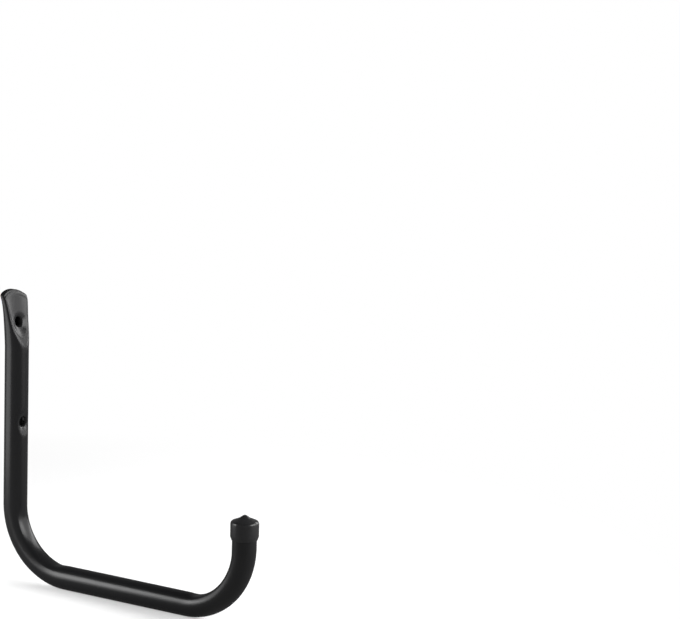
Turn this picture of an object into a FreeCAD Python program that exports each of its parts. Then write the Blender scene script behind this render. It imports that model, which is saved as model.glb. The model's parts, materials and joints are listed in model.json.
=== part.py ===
# Garage utility hook: a bent steel tube with two screw holes and a push-on end cap.
# Frame: origin on the wall plane midway between the screw holes, +X away from the wall, +Z up.
import FreeCAD, Part
import math
import os
import Sketcher

V = FreeCAD.Vector

# Driving dimensions in millimetres and degrees
SIZES = (
    ("tube_outer", 19.0, "outside diameter of the tube"),
    ("tube_wall", 1.4, "wall of the tube"),
    ("bend_radius", 53.0, "centre-line radius of both bends"),
    ("bend_flat", 1.5, "depth that the bending die flattens the inside of a bend"),
    ("arm_straight", 120.0, "straight arm between the two bends"),
    ("tip_rise", 19.0, "outer bend to the end of the tube inside the cap"),
    ("hole_spacing", 80.0, "upper screw hole to lower screw hole"),
    ("lower_hole_rise", 66.7, "start of the lower bend to the lower screw hole"),
    ("end_rise", 25.4, "upper screw hole to the crown of the pressed end"),
    ("hole_diameter", 6.6, "screw hole"),
    ("flare_width", 33.0, "width that the pressed end spreads to at its crown"),
    ("flare_rise", 46.0, "height over which the pressed end spreads"),
    ("flare_setback", 4.1, "how far the widest line of the pressed end moves back at its crown"),
    ("end_lift", 3.4, "how far the rear of the pressed end stands off the wall at its crown"),
    ("scoop_radius", 125.0, "radius of the punch that presses the end in"),
    ("scoop_tilt", 8.0, "slope of the pressed floor at the crown"),
    ("scoop_crown", 60.0, "cross radius of that punch"),
    ("scoop_reach", 22.0, "half width of that punch"),
    ("end_pinch", 0.4, "how far the two walls are squeezed together at the crown"),
    ("dimple_radius", 12.0, "radius of the punch at the lower screw hole"),
    ("dimple_depth", 3.3, "depth of the dimple at the lower screw hole"),
    ("end_arc_radius", 23.0, "radius that the pressed end is trimmed to"),
    ("end_arc_shift", 2.0, "how far the trimmed arc sits off the middle"),
    ("cap_outer", 22.0, "outside diameter of the end cap"),
    ("cap_clearance", 0.1, "gap between the tube and the bore of the cap"),
    ("cap_cover", 12.6, "length of tube inside the cap"),
    ("cap_rim_height", 2.8, "height of the tapered rim"),
    ("cap_rim_edge", 0.35, "thickness left at the lower edge of the rim"),
    ("cap_shoulder_rise", 1.7, "end of the tube to the shoulder of the roof"),
    ("cap_roof_slope", 22.0, "slope of the outer part of the roof"),
    ("cap_peak_slope", 34.0, "slope of the middle part of the roof"),
    ("cap_peak_diameter", 9.0, "diameter at which the roof steepens"),
    ("cap_apex_radius", 1.5, "rounding of the apex"),
    ("cap_shoulder_radius", 1.8, "rounding of the shoulder"),
)

# Places worked out from the driving dimensions
LEG_X = "dims.tube_outer / 2"
BEND_Z = "-(dims.hole_spacing / 2 + dims.lower_hole_rise)"
OUTER_BEND_X = "dims.tube_outer / 2 + dims.bend_radius + dims.arm_straight"
TIP_X = OUTER_BEND_X + " + dims.bend_radius"
TIP_Z = BEND_Z + " + dims.tip_rise"
CROWN_Z = "dims.hole_spacing / 2 + dims.end_rise"
FLARE_Z = CROWN_Z + " - dims.flare_rise"

# Heights of the spreading sections, as shares of the flare, and how late it opens and moves back
FLARE_STEPS = (0.0, 0.2, 0.45, 0.7, 0.85, 1.0)
FLARE_POWER = 1.8
SETBACK_POWER = 4
# Turn of the punch about its axis in degrees, and its depth in tube diameters
SCOOP_SWEEP = 40.0
SCOOP_BODY = 1.6

doc = FreeCAD.newDocument("garage_utility_hook")
dims = doc.addObject("Spreadsheet::Sheet", "dims")
for row, (alias, value, words) in enumerate(SIZES, start=1):
    dims.set(f"A{row}", words)
    dims.set(f"B{row}", str(value))
    dims.setAlias(f"B{row}", alias)
doc.recompute()


def bind(item, **expressions):
    """Tie properties to expressions; a double underscore stands for a dot."""
    for name, expression in expressions.items():
        item.setExpression(name.replace("__", "."), expression)
    return item


def place(item, x="0", y="0", z="0"):
    """Tie an object's position to expressions."""
    bind(item, Placement__Base__x=x, Placement__Base__y=y, Placement__Base__z=z)
    return item


def turn(item, axis, angle):
    """Turn an object about an axis through its own origin."""
    item.Placement = FreeCAD.Placement(V(), FreeCAD.Rotation(axis, angle))
    return item


def value(expression):
    """The present number of an expression, as a start for a sketch."""
    return float(dims.evalExpression(expression))


def point_at(sketch, geometry, end, x, y):
    """Hold one end of a sketch element at expressions measured from the sketch's origin."""
    for kind, expression in (("DistanceX", x), ("DistanceY", y)):
        index = sketch.addConstraint(
            Sketcher.Constraint(kind, -1, 1, geometry, end, value(expression)))
        sketch.setExpression(f"Constraints[{index}]", expression)


def radius_of(sketch, geometry, expression):
    """Hold the radius of a sketch arc at an expression."""
    index = sketch.addConstraint(Sketcher.Constraint("Radius", geometry, value(expression)))
    sketch.setExpression(f"Constraints[{index}]", expression)


def join(sketch, first, first_end, second, second_end, kind="Coincident"):
    """Join two sketch ends, tangent where asked."""
    sketch.addConstraint(Sketcher.Constraint(kind, first, first_end, second, second_end))


# Centre line of the tube
def centre_line():
    """Leg, lower bend, arm, outer bend and tip, in the plane of the hook."""
    sketch = doc.addObject("Sketcher::SketchObject", "centre_line")
    turn(sketch, V(1, 0, 0), 90)
    radius = value("dims.bend_radius")
    leg, bend_z, top = value(LEG_X), value(BEND_Z), value(FLARE_Z)
    near, far = leg + radius, value(OUTER_BEND_X)
    low, tip_z = bend_z - radius, value(TIP_Z)
    up = V(0, 0, 1)

    def arc(x, start, end):
        circle = Part.Circle(V(x, bend_z, 0), up, radius)
        return Part.ArcOfCircle(circle, start, end)

    quarter = math.pi / 2
    leg_line = sketch.addGeometry(Part.LineSegment(V(leg, top, 0), V(leg, bend_z, 0)))
    lower = sketch.addGeometry(arc(near, math.pi, math.pi + quarter))
    arm = sketch.addGeometry(Part.LineSegment(V(near, low, 0), V(far, low, 0)))
    outer = sketch.addGeometry(arc(far, -quarter, 0.0))
    tip = sketch.addGeometry(Part.LineSegment(V(far + radius, bend_z, 0), V(far + radius, tip_z, 0)))
    join(sketch, leg_line, 2, lower, 1, "Tangent")
    join(sketch, lower, 2, arm, 1, "Tangent")
    join(sketch, arm, 2, outer, 1, "Tangent")
    join(sketch, outer, 2, tip, 1, "Tangent")
    point_at(sketch, leg_line, 1, LEG_X, FLARE_Z)
    point_at(sketch, lower, 3, LEG_X + " + dims.bend_radius", BEND_Z)
    sketch.addConstraint(Sketcher.Constraint("Vertical", leg_line))
    sketch.addConstraint(Sketcher.Constraint("Horizontal", arm))
    radius_of(sketch, outer, "dims.bend_radius")
    point_at(sketch, tip, 2, TIP_X, TIP_Z)
    return sketch


# Punches
def scoop(name, grow):
    """The barrel-shaped punch that presses the end in until its walls meet at the crown."""
    radius = "dims.scoop_radius"
    floor = "dims.end_lift + 2 * dims.tube_wall - dims.end_pinch"
    x = f"{floor} + {radius} * cos(dims.scoop_tilt * 1deg)"
    z = f"{CROWN_Z} + {radius} * sin(dims.scoop_tilt * 1deg)"
    sketch = doc.addObject("Sketcher::SketchObject", name + "_profile")
    place(sketch, x=x, z=z)
    cross = f"(dims.scoop_crown + {grow})"
    middle = f"-({radius} - dims.scoop_crown)"
    edge = f"({middle} - sqrt({cross} ^ 2 - dims.scoop_reach ^ 2))"
    back = f"-({radius} - {SCOOP_BODY} * dims.tube_outer)"
    reach = "dims.scoop_reach"
    near, far, wide = value(edge), value(back), value(reach)
    apex = V(-value(f"{radius} + {grow}"), 0, 0)
    nose = sketch.addGeometry(Part.Arc(V(near, wide, 0), apex, V(near, -wide, 0)))
    right = sketch.addGeometry(Part.LineSegment(V(near, -wide, 0), V(far, -wide, 0)))
    rear = sketch.addGeometry(Part.LineSegment(V(far, -wide, 0), V(far, wide, 0)))
    left = sketch.addGeometry(Part.LineSegment(V(far, wide, 0), V(near, wide, 0)))
    join(sketch, nose, 2, right, 1)
    join(sketch, right, 2, rear, 1)
    join(sketch, rear, 2, left, 1)
    join(sketch, left, 2, nose, 1)
    point_at(sketch, nose, 1, edge, reach)
    point_at(sketch, nose, 2, edge, "-" + reach)
    point_at(sketch, rear, 1, back, "-" + reach)
    point_at(sketch, rear, 2, back, reach)
    radius_of(sketch, nose, cross)
    barrel = doc.addObject("Part::Revolution", name)
    barrel.Source = sketch
    barrel.Axis = V(0, -1, 0)
    barrel.Angle = SCOOP_SWEEP
    barrel.Solid = True
    return bind(barrel, Base__x=x, Base__z=z)


def roller(name, radius, x, z):
    """A cylinder that lies across the tube."""
    cylinder = turn(doc.addObject("Part::Cylinder", name), V(1, 0, 0), 90)
    bind(cylinder, Radius=radius, Height="2 * dims.tube_outer")
    return place(cylinder, x=x, y="dims.tube_outer", z=z)


def dimple(name, grow):
    """The round punch that seats the screw at the lower hole."""
    x = "dims.tube_outer - dims.dimple_depth + dims.dimple_radius"
    return roller(name, f"dims.dimple_radius + {grow}", x, "-dims.hole_spacing / 2")


def die(name, x, grow):
    """The bending die that lies against the inside of a bend."""
    radius = f"dims.bend_radius - dims.tube_outer / 2 + dims.bend_flat + {grow}"
    return roller(name, radius, x, BEND_Z)


# Tube
def flare(name, inset):
    """The end of the leg, which spreads as it is pressed."""
    sections = []
    for number, share in enumerate(FLARE_STEPS):
        kind = "Part::Ellipse" if number else "Part::Circle"
        section = turn(doc.addObject(kind, f"{name}_{number}"), V(0, 0, 1), 90)
        back = f"dims.flare_setback * {share} ^ {SETBACK_POWER}"
        place(section, x=f"{LEG_X} - {back}", z=f"{FLARE_Z} + dims.flare_rise * {share}")
        plain = f"dims.tube_outer / 2 - {inset}"
        spread = f"(dims.flare_width - dims.tube_outer) / 2 * {share} ^ {FLARE_POWER}"
        flat = f"(dims.flare_setback + dims.end_lift) * {share} ^ {SETBACK_POWER}"
        if number:
            bind(section, MajorRadius=f"{plain} + {spread}", MinorRadius=f"{plain} - {flat}")
        else:
            bind(section, Radius=plain)
        sections.append(section)
    loft = doc.addObject("Part::Loft", name)
    loft.Sections = sections
    loft.Solid = True
    return loft


def bent_bar(name, path, inset):
    """The bar along the centre line and the spread end, as one solid."""
    circle = doc.addObject("Part::Circle", name + "_section")
    bind(circle, Radius=f"dims.tube_outer / 2 - {inset}")
    place(circle, x=LEG_X, z=FLARE_Z)
    sweep = doc.addObject("Part::Sweep", name + "_sweep")
    sweep.Sections = [circle]
    sweep.Spine = (path, [f"Edge{number}" for number in range(1, 6)])
    sweep.Solid = True
    whole = doc.addObject("Part::MultiFuse", name)
    whole.Shapes = [sweep, flare(name + "_flare", inset)]
    whole.Refine = False
    return whole


def cut(name, base, tool):
    """One solid less another."""
    result = doc.addObject("Part::Cut", name)
    result.Base = base
    result.Tool = tool
    result.Refine = False
    return result


def pressed(name, path, inset):
    """The bar with both bends flattened and both punches pressed in, less an even skin."""
    form = bent_bar(name + "_bar", path, inset)
    lower_x = LEG_X + " + dims.bend_radius"
    tools = (
        die(name + "_lower_die", lower_x, inset),
        die(name + "_outer_die", OUTER_BEND_X, inset),
        scoop(name + "_scoop", inset),
        dimple(name + "_dimple", inset),
    )
    together = doc.addObject("Part::MultiFuse", name + "_tools")
    together.Shapes = list(tools)
    together.Refine = False
    return cut(name, form, together)


def end_trim():
    """What is sheared off above the rounded end."""
    block = doc.addObject("Part::Box", "trim_block")
    bind(block, Length="3 * dims.tube_outer", Width="2 * dims.flare_width", Height="dims.end_rise")
    place(block, x="-dims.tube_outer", y="-dims.flare_width", z=CROWN_Z + " - dims.end_rise / 2")
    round_end = turn(doc.addObject("Part::Cylinder", "trim_round"), V(0, 1, 0), 90)
    bind(round_end, Radius="dims.end_arc_radius", Height="4 * dims.tube_outer")
    place(round_end, x="-1.5 * dims.tube_outer", y="-dims.end_arc_shift",
          z=CROWN_Z + " - dims.end_arc_radius")
    return cut("end_trim", block, round_end)


def screw_holes():
    """Both screw holes, straight through the leg."""
    holes = []
    for name, side in (("upper_hole", "1"), ("lower_hole", "-1")):
        hole = turn(doc.addObject("Part::Cylinder", name), V(0, 1, 0), 90)
        bind(hole, Radius="dims.hole_diameter / 2", Height="2 * dims.tube_outer")
        holes.append(place(hole, x="-dims.tube_outer / 2", z=f"{side} * dims.hole_spacing / 2"))
    group = doc.addObject("Part::MultiFuse", "screw_holes")
    group.Shapes = holes
    return group


def hook_tube():
    """The bent, pressed and pierced tube."""
    path = centre_line()
    outside = pressed("outside", path, "0")
    inside = pressed("inside", path, "dims.tube_wall")
    trimmed = cut("trimmed", outside, end_trim())
    hollow = cut("hollow", trimmed, inside)
    tube = cut("hook_tube", hollow, screw_holes())
    tube.Label = "hook_tube"
    return tube


# End cap
def end_cap():
    """The push-on cap: a thick-walled sleeve with a tapered rim and a peaked roof."""
    body = doc.addObject("PartDesign::Body", "end_cap")
    body.Label = "end_cap"
    plane = next(p for p in body.Origin.OriginFeatures if p.Role == "XZ_Plane")
    sketch = body.newObject("Sketcher::SketchObject", "cap_profile")
    sketch.AttachmentSupport = (plane, [""])
    sketch.MapMode = "FlatFace"
    bind(sketch, AttachmentOffset__Base__x=TIP_X, AttachmentOffset__Base__y=TIP_Z)
    bore = "(dims.tube_outer / 2 + dims.cap_clearance)"
    outer = "dims.cap_outer / 2"
    peak = "dims.cap_peak_diameter / 2"
    rim_z = "-dims.cap_cover"
    roof = f"({outer} - {peak}) * tan(dims.cap_roof_slope * 1deg)"
    peak_z = f"dims.cap_shoulder_rise + {roof}"
    ball = "dims.cap_apex_radius"
    tangent_x = f"{ball} * sin(dims.cap_peak_slope * 1deg)"
    tangent_z = f"{peak_z} + ({peak} - {tangent_x}) * tan(dims.cap_peak_slope * 1deg)"
    apex_z = f"{tangent_z} + {ball} * (1 - cos(dims.cap_peak_slope * 1deg))"
    corners = (
        ("0", "0"),
        (bore, "0"),
        (bore, rim_z),
        (f"{bore} + dims.cap_rim_edge", rim_z),
        (outer, f"{rim_z} + dims.cap_rim_height"),
        (outer, "dims.cap_shoulder_rise"),
        (peak, peak_z),
        (tangent_x, tangent_z),
    )
    points = [V(value(x), value(y), 0) for x, y in corners]
    lines = []
    for start, end in zip(points, points[1:]):
        lines.append(sketch.addGeometry(Part.LineSegment(start, end)))
    apex = V(0, value(apex_z), 0)
    centre = V(0, value(apex_z) - value(ball), 0)
    circle = Part.Circle(centre, V(0, 0, 1), value(ball))
    arc = sketch.addGeometry(
        Part.ArcOfCircle(circle, circle.parameter(points[-1]), circle.parameter(apex)))
    axis = sketch.addGeometry(Part.LineSegment(apex, points[0]))
    for first, second in zip(lines, lines[1:]):
        join(sketch, first, 2, second, 1)
    join(sketch, lines[-1], 2, arc, 1)
    join(sketch, arc, 2, axis, 1)
    join(sketch, axis, 2, lines[0], 1)
    for line, (x, y) in zip(lines, corners):
        point_at(sketch, line, 1, x, y)
    point_at(sketch, arc, 1, *corners[-1])
    point_at(sketch, arc, 2, "0", apex_z)
    radius_of(sketch, arc, ball)
    turned = body.newObject("PartDesign::Revolution", "cap_turned")
    turned.Profile = sketch
    turned.ReferenceAxis = (sketch, ["V_Axis"])
    turned.Angle = 360.0
    doc.recompute()
    shoulder = value(f"{TIP_Z} + dims.cap_shoulder_rise")
    edges = []
    for number, edge in enumerate(turned.Shape.Edges, start=1):
        box = edge.BoundBox
        if abs(box.ZMin - shoulder) < 1e-6 and abs(box.ZMax - shoulder) < 1e-6:
            edges.append(f"Edge{number}")
    rounding = body.newObject("PartDesign::Fillet", "cap_shoulder")
    rounding.Base = (turned, edges)
    bind(rounding, Radius="dims.cap_shoulder_radius")
    return body


SUB_PARTS = (hook_tube(), end_cap())
doc.recompute()

for item in doc.Objects:
    if "Invalid" in item.State or "Error" in item.State:
        raise RuntimeError(f"{item.Name} failed: {item.State}")
os.makedirs("parts", exist_ok=True)
for part in SUB_PARTS:
    if part.Shape.isNull() or not part.Shape.isValid():
        raise RuntimeError(f"{part.Label} has no valid shape")
for part in SUB_PARTS:
    part.Shape.exportStep(f"parts/{part.Label}.step")
    volume = round(part.Shape.Volume, 1)
    print(part.Label, len(part.Shape.Solids), "solid", volume, "mm3", part.Shape.BoundBox)
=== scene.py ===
# Garage utility hook: the finish of the bent, pressed tube and of its push-on cap.
import json
import math

import bmesh
import bpy
from mathutils import Euler, Matrix, Vector


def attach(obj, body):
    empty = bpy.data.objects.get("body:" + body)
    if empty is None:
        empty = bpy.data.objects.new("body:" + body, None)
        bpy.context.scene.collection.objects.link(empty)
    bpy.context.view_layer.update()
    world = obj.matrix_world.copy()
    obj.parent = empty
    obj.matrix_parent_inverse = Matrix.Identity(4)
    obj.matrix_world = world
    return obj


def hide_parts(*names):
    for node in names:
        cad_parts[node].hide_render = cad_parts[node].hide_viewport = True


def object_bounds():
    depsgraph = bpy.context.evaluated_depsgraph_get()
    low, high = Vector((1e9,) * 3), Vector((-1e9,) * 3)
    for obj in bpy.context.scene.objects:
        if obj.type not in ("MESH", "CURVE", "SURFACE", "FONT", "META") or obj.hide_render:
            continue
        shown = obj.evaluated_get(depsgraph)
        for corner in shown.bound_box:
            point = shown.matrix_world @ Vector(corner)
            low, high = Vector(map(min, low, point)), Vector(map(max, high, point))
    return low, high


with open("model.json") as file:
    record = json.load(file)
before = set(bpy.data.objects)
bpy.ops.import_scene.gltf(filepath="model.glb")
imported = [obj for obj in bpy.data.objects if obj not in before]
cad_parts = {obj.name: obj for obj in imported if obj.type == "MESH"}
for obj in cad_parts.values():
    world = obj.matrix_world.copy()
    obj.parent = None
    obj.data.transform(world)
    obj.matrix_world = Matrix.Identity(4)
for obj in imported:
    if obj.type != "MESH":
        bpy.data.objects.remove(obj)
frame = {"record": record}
cad_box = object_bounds()

# Sizes of the tube in metres, as in the solids
MM = 0.001
TUBE_RADIUS = 9.5 * MM
TUBE_WALL = 1.4 * MM
BEND_RADIUS = 53.0 * MM
BEND_FLAT = 1.5 * MM
ARM_STRAIGHT = 120.0 * MM
TIP_RISE = 19.0 * MM
LOWER_HOLE_RISE = 66.7 * MM
END_RISE = 25.4 * MM
HOLE_RADIUS = frame["record"]["mounts"][0]["dims"]["hole_r_mm"] * MM
HOLE_SPACING = frame["record"]["mounts"][0]["dims"]["spacing_y_mm"] * MM

# Places worked out from the sizes
LEG_X = TUBE_RADIUS
UPPER_HOLE_Z = HOLE_SPACING / 2
LOWER_HOLE_Z = -HOLE_SPACING / 2
BEND_Z = LOWER_HOLE_Z - LOWER_HOLE_RISE
CROWN_Z = UPPER_HOLE_Z + END_RISE
LOWER_BEND_X = LEG_X + BEND_RADIUS
OUTER_BEND_X = LOWER_BEND_X + ARM_STRAIGHT
TIP_X = OUTER_BEND_X + BEND_RADIUS
TIP_Z = BEND_Z + TIP_RISE

# Pressed upper end
PRESS_RISE = 46.0 * MM
PRESS_Z = CROWN_Z - PRESS_RISE
END_SPREAD = 5.5 * MM
END_SPREAD_POWER = 1.2
END_SETBACK = 6.2 * MM
END_LIFT = 1.4 * MM
END_SETBACK_POWER = 4.0
TROUGH_CURVE = 8.0
TROUGH_SLOPE = 0.2
TROUGH_DEPTH = 7.2 * MM
TROUGH_FALL = 1.1 * MM
TROUGH_FALL_REACH = 5.0 * MM
RAMP_SLOPE = 0.6
RAMP_CURVE = 26.0
RAMP_Z = UPPER_HOLE_Z - 16.2 * MM
RAMP_SOFTNESS = 3.0 * MM
LIP_SOFTNESS = 4.2 * MM
END_ARC_RADIUS = 23.0 * MM
END_ARC_SHIFT = 2.0 * MM
END_EDGE_RADIUS = 1.0 * MM
END_EDGE_ROWS = 5
END_EDGE_TURN = 80.0
END_EDGE_POWER = 8
TRIM_ROUNDS = 6

# Dish at the upper screw hole
DISH_DEPTH = 1.8 * MM
DISH_RADIUS = 24.0 * MM
DISH_CURVE = 40.0
DISH_SOFTNESS = 1.6 * MM

# Dimple at the lower screw hole
DIMPLE_DEPTH = 3.3 * MM
DIMPLE_RADIUS_UP = 9.0 * MM
DIMPLE_RADIUS_DOWN = 14.0 * MM
DIMPLE_SOFTNESS = 2.4 * MM
DIMPLE_CURVE = 50.0
DIMPLE_REACH_UP = 9.6 * MM
DIMPLE_REACH_DOWN = 16.0 * MM

# Bends
FLAT_SOFTNESS = 3.2 * MM
FLAT_FADE = 14.0

# Bore
BORE_RADIUS = TUBE_RADIUS - TUBE_WALL
BORE_TOP_Z = CROWN_Z - 9.0 * MM
BORE_ROW = 1.5 * MM

# Screw holes: the drawn-in edge
HOLE_EDGE_RADIUS = 2.0 * MM
HOLE_EDGE_TURN = 72.0
HOLE_EDGE_ROWS = 5
HOLE_COUNT = 48

# Push-on cap, measured from the end of the tube
CAP_RADIUS = 11.0 * MM
CAP_BORE_RADIUS = 9.6 * MM
CAP_COVER = 12.6 * MM
CAP_RIM_HEIGHT = 2.8 * MM
CAP_RIM_EDGE = 0.35 * MM
CAP_RIM_ROUND = 0.12 * MM
CAP_TAPER_ROUND = 2.0 * MM
CAP_SHOULDER_RISE = 1.7 * MM
CAP_SHOULDER_ROUND = 2.6 * MM
CAP_ROOF_SLOPE = 22.0
CAP_PEAK_SLOPE = 34.0
CAP_PEAK_RADIUS = 4.5 * MM
CAP_PEAK_ROUND = 2.0 * MM
CAP_APEX_ROUND = 2.2 * MM
CAP_POLE_RADIUS = CAP_APEX_ROUND / 20

# Grain of the finishes
COAT_IOR = 1.8
GLOSS_SPREAD = 0.12
BLOTCH_GRAINS = 12
BLOTCH_DETAIL = 4
PEBBLE_DETAIL = 2

# Floor and light
FLOOR_SIZE = 40.0
FLOOR_COLOUR = 0.4
FLOOR_ROUGHNESS = 0.9
FLOOR_NEAR = 0.12
FLOOR_FAR = 0.55
FLOOR_LIFT_NEAR = 0.3
FLOOR_LIFT_FAR = 1.0
WORLD_LEVEL = 0.1
CEILING_LEVEL = 0.15
CEILING_FROM = 0.35
CEILING_TO = 0.75
LIGHT_AIM = (0.12, 0.0, -0.07)
LEG_AIM = (0.01, 0.0, -0.05)
TIP_AIM = (0.2355, 0.0, -0.07)

# Mesh spacing
CORNER_STEPS = 6
CAP_COUNT = 96
MERGE_DISTANCE = 0.005 * MM
RING_COUNT = 112
FINE_ROW = 0.75 * MM
COARSE_ROW = 4.0 * MM
BEND_STEPS = 45
SMOOTH_ANGLE = 40.0

# Camera, fitted to the outline in the 680 by 619 frame
IMAGE_WIDTH = 680
CAMERA_PLACE = (1.5198, -1.7835, 0.4572)
CAMERA_AZIMUTH = 34.0
CAMERA_ELEVATION = 9.7817
CAMERA_ROLL = 1.6015
CAMERA_FOCAL_PIXELS = 2986.9
CAMERA_REACH = 50.0
SENSOR_WIDTH = 36.0


def deselect():
    """Leave nothing selected before a new piece is started."""
    bpy.ops.object.select_all(action="DESELECT")


def ring(radius, place, count):
    """Start a piece from a ring, in edit mode, with its place in the mesh."""
    deselect()
    bpy.ops.mesh.primitive_circle_add(vertices=count, radius=radius, location=place)
    bpy.ops.object.transform_apply(location=True, rotation=True, scale=True)
    bpy.ops.object.mode_set(mode="EDIT")
    bpy.ops.mesh.select_all(action="SELECT")
    return bpy.context.object


def draw(offset, rows=1):
    """Extrude the selected ring along an offset in equal rows."""
    step = Vector(offset) / rows
    for _ in range(rows):
        bpy.ops.mesh.extrude_region_move(TRANSFORM_OT_translate={"value": step})


def rows_for(length, row):
    """How many rows of about this height fit a length."""
    return max(1, round(abs(length) / row))


def soft_min(first, second, softness):
    """The smaller of two lengths, with the crease between them rounded over."""
    blend = max(softness - abs(first - second), 0.0) / softness
    return min(first, second) - blend * blend * softness / 4


def leg_rows():
    """Heights at which the rows of the leg change, with the row height above each."""
    return (
        (PRESS_Z, FINE_ROW),
        (LOWER_HOLE_Z + DIMPLE_REACH_UP, COARSE_ROW),
        (LOWER_HOLE_Z - DIMPLE_REACH_DOWN, FINE_ROW),
        (BEND_Z, COARSE_ROW / 2),
    )


def bent_tube():
    """The plain bent tube: skin, turned-in end and bore, as one surface."""
    top = CROWN_Z + END_EDGE_ROWS * FINE_ROW
    tube = ring(TUBE_RADIUS, (LEG_X, 0, top), RING_COUNT)
    draw((0, 0, CROWN_Z - top), END_EDGE_ROWS)
    height = CROWN_Z
    for low, row in leg_rows():
        draw((0, 0, low - height), rows_for(height - low, row))
        height = low
    quarter = math.pi / 2
    lower_centre = (LOWER_BEND_X, 0, BEND_Z)
    outer_centre = (OUTER_BEND_X, 0, BEND_Z)
    bpy.ops.mesh.spin(steps=BEND_STEPS, angle=quarter, center=lower_centre, axis=(0, 1, 0))
    draw((ARM_STRAIGHT, 0, 0), rows_for(ARM_STRAIGHT, COARSE_ROW))
    bpy.ops.mesh.spin(steps=BEND_STEPS, angle=quarter, center=outer_centre, axis=(0, 1, 0))
    draw((0, 0, TIP_RISE), rows_for(TIP_RISE, COARSE_ROW))
    # Turn the end in and go back through the bore, up into the pressed end
    draw((0, 0, 0))
    inner = BORE_RADIUS / TUBE_RADIUS
    bpy.ops.transform.resize(value=(inner, inner, 1), center_override=(TIP_X, 0, TIP_Z))
    draw((0, 0, -TIP_RISE), rows_for(TIP_RISE, COARSE_ROW))
    bpy.ops.mesh.spin(steps=BEND_STEPS, angle=-quarter, center=outer_centre, axis=(0, 1, 0))
    draw((-ARM_STRAIGHT, 0, 0), rows_for(ARM_STRAIGHT, COARSE_ROW))
    bpy.ops.mesh.spin(steps=BEND_STEPS, angle=-quarter, center=lower_centre, axis=(0, 1, 0))
    draw((0, 0, BORE_TOP_Z - BEND_Z), rows_for(BORE_TOP_Z - BEND_Z, BORE_ROW))
    bpy.ops.mesh.edge_face_add()
    close_end(tube, top)
    bpy.ops.object.mode_set(mode="OBJECT")
    return tube


def close_end(tube, height):
    """Close the upper end across the tube, front wall to rear wall."""
    bpy.ops.mesh.select_all(action="DESELECT")
    shape = bmesh.from_edit_mesh(tube.data)
    lip = TUBE_RADIUS * math.cos(math.pi / RING_COUNT)
    for edge in shape.edges:
        level = all(abs(v.co.z - height) < FINE_ROW / 4 for v in edge.verts)
        edge.select = level and all(abs(v.co.y) < lip for v in edge.verts)
    bmesh.update_edit_mesh(tube.data)
    bpy.ops.mesh.bridge_edge_loops()
    bpy.ops.mesh.select_all(action="DESELECT")
    bpy.ops.mesh.select_non_manifold()
    bpy.ops.mesh.fill_holes(sides=0)


def end_height(y):
    """Height of the trimmed end over the width."""
    across = y + END_ARC_SHIFT
    return CROWN_Z - END_ARC_RADIUS + math.sqrt(END_ARC_RADIUS ** 2 - across ** 2)


def trough_floor(y, height):
    """Floor of the trough: a hollow ramp, the dish at the hole, and a shallow floor that ends in a fall."""
    ramp = TUBE_RADIUS - RAMP_SLOPE * (height - RAMP_Z) + RAMP_CURVE * y * y
    floor = TUBE_RADIUS - TROUGH_DEPTH - TROUGH_SLOPE * (height - UPPER_HOLE_Z) + TROUGH_CURVE * y * y
    rise = max(0.0, height - UPPER_HOLE_Z)
    dish = TUBE_RADIUS - TROUGH_DEPTH - DISH_DEPTH + rise * rise / (2 * DISH_RADIUS)
    floor = soft_min(floor, dish + DISH_CURVE * y * y, DISH_SOFTNESS)
    near = max(0.0, 1 - (end_height(y) - height) / TROUGH_FALL_REACH)
    return -soft_min(-ramp, -floor, RAMP_SOFTNESS) - TROUGH_FALL * near * near


def pressed_section(angle, height, inset):
    """One point of the pressed section at a height, measured from the axis of the leg."""
    share = min(max((height - PRESS_Z) / PRESS_RISE, 0.0), 1.0)
    back = END_SETBACK * share ** END_SETBACK_POWER
    half_width = TUBE_RADIUS + END_SPREAD * share ** END_SPREAD_POWER - inset
    rear = TUBE_RADIUS - back - END_LIFT * share ** END_SETBACK_POWER - inset
    depth = rear if math.cos(angle) < 0 else TUBE_RADIUS + back - inset
    y = half_width * math.sin(angle)
    x = depth * math.cos(angle) - back
    floor = trough_floor(y, height) - inset
    return soft_min(x, floor, LIP_SOFTNESS), y


def pressed_point(angle, share, inset=0.0):
    """One point of the pressed end, by its angle and its share of the trimmed height."""
    height = PRESS_Z + share * PRESS_RISE
    for _ in range(TRIM_ROUNDS):
        x, y = pressed_section(angle, height, inset)
        height = PRESS_Z + share * (end_height(y) - PRESS_Z)
    return Vector((LEG_X + x, y, height))


def end_edge_point(angle, row):
    """One point of the rounded edge of the trimmed end."""
    turn = math.radians(END_EDGE_TURN) * row / END_EDGE_ROWS
    skin = pressed_point(angle, 1.0)
    middle = (skin + pressed_point(math.pi - angle, 1.0)) / 2
    reach = skin - middle
    thick = max(reach.length, END_EDGE_RADIUS)
    keep = 1 - END_EDGE_RADIUS * (1 - math.cos(turn)) / thick
    point = middle + reach * keep
    point.z += END_EDGE_RADIUS * (math.sin(turn) - 1)
    return point


def shape_leg(point, inset):
    """Press the upper end and the dimple into one point of the leg."""
    angle = math.atan2(point.y, point.x - LEG_X)
    if point.z > CROWN_Z + FINE_ROW / 4:
        return end_edge_point(angle, (point.z - CROWN_Z) / FINE_ROW)
    if point.z > PRESS_Z:
        share = (point.z - PRESS_Z) / PRESS_RISE
        pressed = pressed_point(angle, share, inset)
        pressed.z -= END_EDGE_RADIUS * share ** END_EDGE_POWER
        return pressed
    x, y = pressed_section(angle, point.z, inset)
    rise = point.z - LOWER_HOLE_Z
    radius = DIMPLE_RADIUS_UP if rise > 0 else DIMPLE_RADIUS_DOWN
    floor = TUBE_RADIUS - DIMPLE_DEPTH + rise * rise / (2 * radius) - inset
    x = soft_min(x, floor + DIMPLE_CURVE * y * y, DIMPLE_SOFTNESS)
    return Vector((LEG_X + x, y, point.z))


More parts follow.
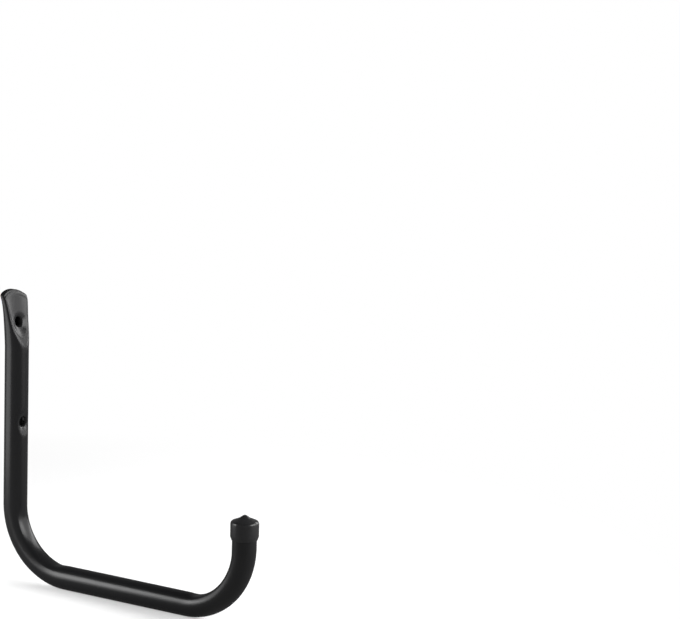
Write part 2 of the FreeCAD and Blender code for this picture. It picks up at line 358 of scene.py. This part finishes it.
def shape_bend(point, centre_x, inset):
    """Flatten the inside of a bend, as the bending die leaves it."""
    arm = Vector((point.x - centre_x, 0, point.z - BEND_Z))
    inside = BEND_RADIUS - TUBE_RADIUS + BEND_FLAT + inset
    flat = -soft_min(-arm.length, -inside, FLAT_SOFTNESS)
    turn = math.degrees(math.atan2(-arm.z, abs(arm.x)))
    fade = min(1.0, max(0.0, min(turn, 90 - turn) / FLAT_FADE))
    fade = fade * fade * (3 - 2 * fade)
    arm *= 1 + (flat / arm.length - 1) * fade
    return Vector((centre_x + arm.x, point.y, BEND_Z + arm.z))


def bore_inset(point, centre_x):
    """How far a point of a bend lies inside the outer skin."""
    reach = math.hypot(point.x - centre_x, point.z - BEND_Z) - BEND_RADIUS
    return TUBE_RADIUS - math.hypot(reach, point.y)


def shape_tube(tube):
    """Give every point of the plain tube its pressed or flattened place."""
    for vertex in tube.data.vertices:
        point = vertex.co.copy()
        if point.z >= BEND_Z and point.x < LOWER_BEND_X:
            span = math.hypot(point.x - LEG_X, point.y)
            vertex.co = shape_leg(point, TUBE_RADIUS - span)
        elif point.z < BEND_Z and point.x < LOWER_BEND_X:
            vertex.co = shape_bend(point, LOWER_BEND_X, bore_inset(point, LOWER_BEND_X))
        elif point.z < BEND_Z and point.x > OUTER_BEND_X:
            vertex.co = shape_bend(point, OUTER_BEND_X, bore_inset(point, OUTER_BEND_X))


def leg_front(y, height):
    """Place of the leg's front skin at a height and a distance from its middle."""
    low = height < PRESS_Z
    share = 0.0 if low else (height - PRESS_Z) / PRESS_RISE
    half_width = TUBE_RADIUS + END_SPREAD * share ** END_SPREAD_POWER
    angle = math.asin(max(-1.0, min(1.0, y / half_width)))
    if low:
        return shape_leg(Vector((LEG_X + TUBE_RADIUS * math.cos(angle), y, height)), 0.0).x
    return LEG_X + pressed_section(angle, height, 0.0)[0]


def drawn_edge():
    """Radius and depth of each ring of a hole's cutter, from inside the edge out past the skin."""
    turn = math.radians(HOLE_EDGE_TURN)
    rings = [(HOLE_RADIUS, HOLE_EDGE_RADIUS * math.sin(turn))]
    for step in range(1, HOLE_EDGE_ROWS + 1):
        part = turn * step / HOLE_EDGE_ROWS
        radius = HOLE_RADIUS + HOLE_EDGE_RADIUS * (1 - math.cos(part))
        rings.append((radius, HOLE_EDGE_RADIUS * (math.sin(turn) - math.sin(part))))
    widest = rings[-1][0] + HOLE_EDGE_RADIUS * math.sin(turn)
    rings.append((widest, -HOLE_EDGE_RADIUS * math.cos(turn)))
    return rings


def screw_hole(tube, height):
    """Punch one screw hole through the leg, its front edge drawn in all round."""
    start = (-TUBE_RADIUS, 0, height)
    cutter = ring(HOLE_RADIUS, start, HOLE_COUNT)
    bpy.ops.transform.rotate(value=math.pi / 2, orient_axis="Y", center_override=start)
    bpy.ops.mesh.edge_face_add()
    radius = HOLE_RADIUS
    for wider, depth in drawn_edge():
        draw((TUBE_RADIUS, 0, 0))
        scale = wider / radius
        bpy.ops.transform.resize(value=(1, scale, scale), center_override=(0, 0, height))
        shape = bmesh.from_edit_mesh(cutter.data)
        for vertex in shape.verts:
            if vertex.select:
                vertex.co.x = leg_front(vertex.co.y, vertex.co.z) - depth
        bmesh.update_edit_mesh(cutter.data)
        radius = wider
    bpy.ops.mesh.select_all(action="SELECT")
    bpy.ops.mesh.normals_make_consistent(inside=False)
    bpy.ops.object.mode_set(mode="OBJECT")
    deselect()
    bpy.context.view_layer.objects.active = tube
    tube.select_set(True)
    cut = tube.modifiers.new("hole", "BOOLEAN")
    cut.operation = "DIFFERENCE"
    cut.solver = "EXACT"
    cut.object = cutter
    bpy.ops.object.modifier_apply(modifier="hole")
    bpy.data.objects.remove(cutter, do_unlink=True)


def finish_mesh(piece, name):
    """Merge doubles, turn the faces outward, smooth the shading and name the piece."""
    deselect()
    bpy.context.view_layer.objects.active = piece
    piece.select_set(True)
    bpy.ops.object.mode_set(mode="EDIT")
    bpy.ops.mesh.select_all(action="SELECT")
    bpy.ops.mesh.remove_doubles(threshold=MERGE_DISTANCE)
    bpy.ops.mesh.normals_make_consistent(inside=False)
    bpy.ops.object.mode_set(mode="OBJECT")
    bpy.ops.object.shade_smooth_by_angle(angle=math.radians(SMOOTH_ANGLE))
    piece.name = name


def filleted(profile):
    """Round the corners of a profile of radius, height and corner radius."""
    points = []
    for index, (across, up, round_off) in enumerate(profile):
        here = Vector((across, up))
        if round_off == 0:
            points.append(here)
            continue
        before = (Vector(profile[index - 1][:2]) - here).normalized()
        after = (Vector(profile[index + 1][:2]) - here).normalized()
        half = before.angle(after) / 2
        centre = here + (before + after).normalized() * round_off / math.sin(half)
        start = here + before * round_off / math.tan(half) - centre
        stop = here + after * round_off / math.tan(half) - centre
        for step in range(CORNER_STEPS + 1):
            reach = start.slerp(stop, step / CORNER_STEPS).normalized()
            points.append(centre + reach * round_off)
    return points


def end_cap():
    """The push-on cap, turned from its profile: bore, rim, sides, shoulder and peaked roof."""
    shoulder = CAP_SHOULDER_RISE
    roof = shoulder + (CAP_RADIUS - CAP_PEAK_RADIUS) * math.tan(math.radians(CAP_ROOF_SLOPE))
    peak = roof + CAP_PEAK_RADIUS * math.tan(math.radians(CAP_PEAK_SLOPE))
    rim = CAP_BORE_RADIUS + CAP_RIM_EDGE
    profile = (
        (CAP_BORE_RADIUS, 0.0, 0),
        (CAP_BORE_RADIUS, -CAP_COVER, CAP_RIM_ROUND),
        (rim, -CAP_COVER, CAP_RIM_ROUND),
        (CAP_RADIUS, CAP_RIM_HEIGHT - CAP_COVER, CAP_TAPER_ROUND),
        (CAP_RADIUS, shoulder, CAP_SHOULDER_ROUND),
        (CAP_PEAK_RADIUS, roof, CAP_PEAK_ROUND),
        (0.0, peak, CAP_APEX_ROUND),
        (-CAP_PEAK_RADIUS, roof, 0),
    )
    outline = [point for point in filleted(profile) if point.x > CAP_POLE_RADIUS]
    start = outline[0]
    cap = ring(start.x, (TIP_X, 0, TIP_Z + start.y), CAP_COUNT)
    for before, point in zip(outline, outline[1:]):
        draw((0, 0, point.y - before.y))
        scale = point.x / before.x
        bpy.ops.transform.resize(value=(scale, scale, 1), center_override=(TIP_X, 0, TIP_Z + point.y))
    bpy.ops.mesh.select_all(action="DESELECT")
    bpy.ops.mesh.select_non_manifold()
    bpy.ops.mesh.fill_holes(sides=0)
    bpy.ops.object.mode_set(mode="OBJECT")
    return cap


def map_range(nodes, links, value, source, target):
    """Turn one range of a value into another."""
    node = nodes.new("ShaderNodeMapRange")
    node.inputs["From Min"].default_value = source[0]
    node.inputs["From Max"].default_value = source[1]
    node.inputs["To Min"].default_value = target[0]
    node.inputs["To Max"].default_value = target[1]
    links.new(value, node.inputs["Value"])
    return node.outputs["Result"]


def coat(name, colour, gloss, shine, grain, peel):
    """A satin black finish with fine grain in its gloss and its surface."""
    material = bpy.data.materials.new(name)
    material.use_nodes = True
    nodes = material.node_tree.nodes
    links = material.node_tree.links
    shader = nodes["Principled BSDF"]
    shader.inputs["Base Color"].default_value = (*colour, 1)
    shader.inputs["Specular IOR Level"].default_value = 0.0
    shader.inputs["Coat Weight"].default_value = shine
    shader.inputs["Coat IOR"].default_value = COAT_IOR
    place = nodes.new("ShaderNodeTexCoord")
    blotch = nodes.new("ShaderNodeTexNoise")
    blotch.inputs["Scale"].default_value = 1 / (grain * BLOTCH_GRAINS)
    blotch.inputs["Detail"].default_value = BLOTCH_DETAIL
    pebble = nodes.new("ShaderNodeTexNoise")
    pebble.inputs["Scale"].default_value = 1 / grain
    pebble.inputs["Detail"].default_value = PEBBLE_DETAIL
    bump = nodes.new("ShaderNodeBump")
    bump.inputs["Strength"].default_value = 1.0
    bump.inputs["Distance"].default_value = peel
    links.new(place.outputs["Object"], blotch.inputs["Vector"])
    links.new(place.outputs["Object"], pebble.inputs["Vector"])
    gloss_range = (gloss * (1 - GLOSS_SPREAD), gloss * (1 + GLOSS_SPREAD))
    uneven = map_range(nodes, links, blotch.outputs["Fac"], (0.0, 1.0), gloss_range)
    links.new(uneven, shader.inputs["Roughness"])
    links.new(uneven, shader.inputs["Coat Roughness"])
    links.new(pebble.outputs["Fac"], bump.inputs["Height"])
    links.new(bump.outputs["Normal"], shader.inputs["Normal"])
    links.new(bump.outputs["Normal"], shader.inputs["Coat Normal"])
    return material


def dress(piece, node, material):
    """Put a finished piece in the place of its plain solid."""
    piece.data.materials.clear()
    piece.data.materials.append(material)
    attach(piece, "root")
    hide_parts(node)


def softbox(name, aim, direction, distance, width, height, radiance):
    """A rectangular lamp that faces the hook, out of the camera's sight."""
    data = bpy.data.lights.new(name, "AREA")
    data.shape = "RECTANGLE"
    data.size = width
    data.size_y = height
    data.energy = radiance * math.pi * width * height
    lamp = bpy.data.objects.new(name, data)
    away = Vector(direction).normalized()
    lamp.location = Vector(aim) + away * distance
    lamp.rotation_euler = (-away).to_track_quat("-Z", "Y").to_euler()
    lamp.visible_camera = False
    bpy.context.scene.collection.objects.link(lamp)


def seen_ray(nodes, links):
    """One where a ray comes from the camera, a reflection or a transmission, else nought."""
    path = nodes.new("ShaderNodeLightPath")
    either = nodes.new("ShaderNodeMath")
    either.operation = "ADD"
    either.use_clamp = True
    seen = nodes.new("ShaderNodeMath")
    seen.operation = "ADD"
    seen.use_clamp = True
    links.new(path.outputs["Is Camera Ray"], either.inputs[0])
    links.new(path.outputs["Is Glossy Ray"], either.inputs[1])
    links.new(either.outputs[0], seen.inputs[0])
    links.new(path.outputs["Is Transmission Ray"], seen.inputs[1])
    return seen.outputs[0]


def pale_floor():
    """Floor that keeps the shadow by the hook and turns white away from it."""
    deselect()
    bpy.ops.mesh.primitive_plane_add(size=FLOOR_SIZE, location=(0, 0, cad_box[0].z))
    floor = bpy.context.object
    floor.name = "floor"
    material = bpy.data.materials.new("pale_floor")
    material.use_nodes = True
    nodes = material.node_tree.nodes
    links = material.node_tree.links
    shader = nodes["Principled BSDF"]
    shader.inputs["Roughness"].default_value = FLOOR_ROUGHNESS
    shader.inputs["Specular IOR Level"].default_value = 0.0
    shader.inputs["Emission Color"].default_value = (1, 1, 1, 1)
    place = nodes.new("ShaderNodeTexCoord")
    away = nodes.new("ShaderNodeVectorMath")
    away.operation = "LENGTH"
    links.new(place.outputs["Object"], away.inputs[0])
    reach = (FLOOR_NEAR, FLOOR_FAR)
    glow = map_range(nodes, links, away.outputs["Value"], reach, (FLOOR_LIFT_NEAR, FLOOR_LIFT_FAR))
    colour = map_range(nodes, links, away.outputs["Value"], reach, (FLOOR_COLOUR, 0.0))
    lift = nodes.new("ShaderNodeMath")
    lift.operation = "MULTIPLY"
    links.new(seen_ray(nodes, links), lift.inputs[0])
    links.new(glow, lift.inputs[1])
    links.new(colour, shader.inputs["Base Color"])
    links.new(lift.outputs[0], shader.inputs["Emission Strength"])
    floor.data.materials.append(material)


def studio_world():
    """White world behind the hook, dimmed as a light and towards the ceiling."""
    world = bpy.data.worlds.new("studio")
    world.use_nodes = True
    bpy.context.scene.world = world
    nodes = world.node_tree.nodes
    links = world.node_tree.links
    glow = nodes["Background"]
    level = map_range(nodes, links, seen_ray(nodes, links), (0.0, 1.0), (WORLD_LEVEL, 1.0))
    links.new(level, glow.inputs["Strength"])
    place = nodes.new("ShaderNodeTexCoord")
    height = nodes.new("ShaderNodeSeparateXYZ")
    links.new(place.outputs["Generated"], height.inputs[0])
    ceiling = (CEILING_FROM, CEILING_TO)
    shade = map_range(nodes, links, height.outputs["Z"], ceiling, (1.0, CEILING_LEVEL))
    links.new(shade, glow.inputs["Color"])


def photo_camera():
    """The camera at the photograph's viewing angle."""
    data = bpy.data.cameras.new("camera")
    data.sensor_width = SENSOR_WIDTH
    data.lens = CAMERA_FOCAL_PIXELS * SENSOR_WIDTH / IMAGE_WIDTH
    data.clip_end = CAMERA_REACH
    camera = bpy.data.objects.new("camera", data)
    bpy.context.scene.collection.objects.link(camera)
    tilt = math.radians(90 - CAMERA_ELEVATION)
    turn = Euler((tilt, 0, math.radians(CAMERA_AZIMUTH))).to_matrix().to_4x4()
    roll = Matrix.Rotation(math.radians(CAMERA_ROLL), 4, "Z")
    camera.matrix_world = Matrix.Translation(CAMERA_PLACE) @ turn @ roll
    bpy.context.scene.camera = camera


# The bent tube with its pressed end, dimple and screw holes
tube = bent_tube()
shape_tube(tube)
finish_mesh(tube, "bent_tube")
for hole_z in (UPPER_HOLE_Z, LOWER_HOLE_Z):
    screw_hole(tube, hole_z)
finish_mesh(tube, "bent_tube")
powder = coat(
    "powder_coat", colour=(0.005, 0.005, 0.0053), gloss=0.26, shine=0.1, grain=0.8 * MM, peel=0.006 * MM
)
dress(tube, "hook_tube", powder)

# The push-on cap
cap = end_cap()
finish_mesh(cap, "moulded_cap")
vinyl = coat(
    "cap_vinyl", colour=(0.0095, 0.0095, 0.0099), gloss=0.24, shine=0.12, grain=0.6 * MM, peel=0.004 * MM
)
dress(cap, "end_cap", vinyl)

# Floor, light and camera
pale_floor()
studio_world()
softbox(
    "key_left", LIGHT_AIM, direction=(-0.65, -0.7, 0.32), distance=0.8,
    width=0.26, height=0.4, radiance=21.0,
)
softbox(
    "key_right", LIGHT_AIM, direction=(0.86, 0.31, 0.42), distance=0.9,
    width=0.74, height=0.42, radiance=20.0,
)
softbox(
    "panel_left", LEG_AIM, direction=(-0.7, -0.71, 0.1), distance=0.34,
    width=0.36, height=0.3, radiance=8.0,
)
softbox(
    "panel_right", TIP_AIM, direction=(0.87, 0.5, 0.12), distance=0.36,
    width=0.4, height=0.3, radiance=1.6,
)
softbox(
    "wall_right", LIGHT_AIM, direction=(0.54, 0.77, 0.34), distance=1.0,
    width=0.36, height=0.7, radiance=5.5,
)
softbox(
    "wall_back", LIGHT_AIM, direction=(0.2, 0.91, 0.32), distance=1.1,
    width=0.34, height=0.66, radiance=22.0,
)
photo_camera()
bpy.context.scene.view_settings.view_transform = "Standard"
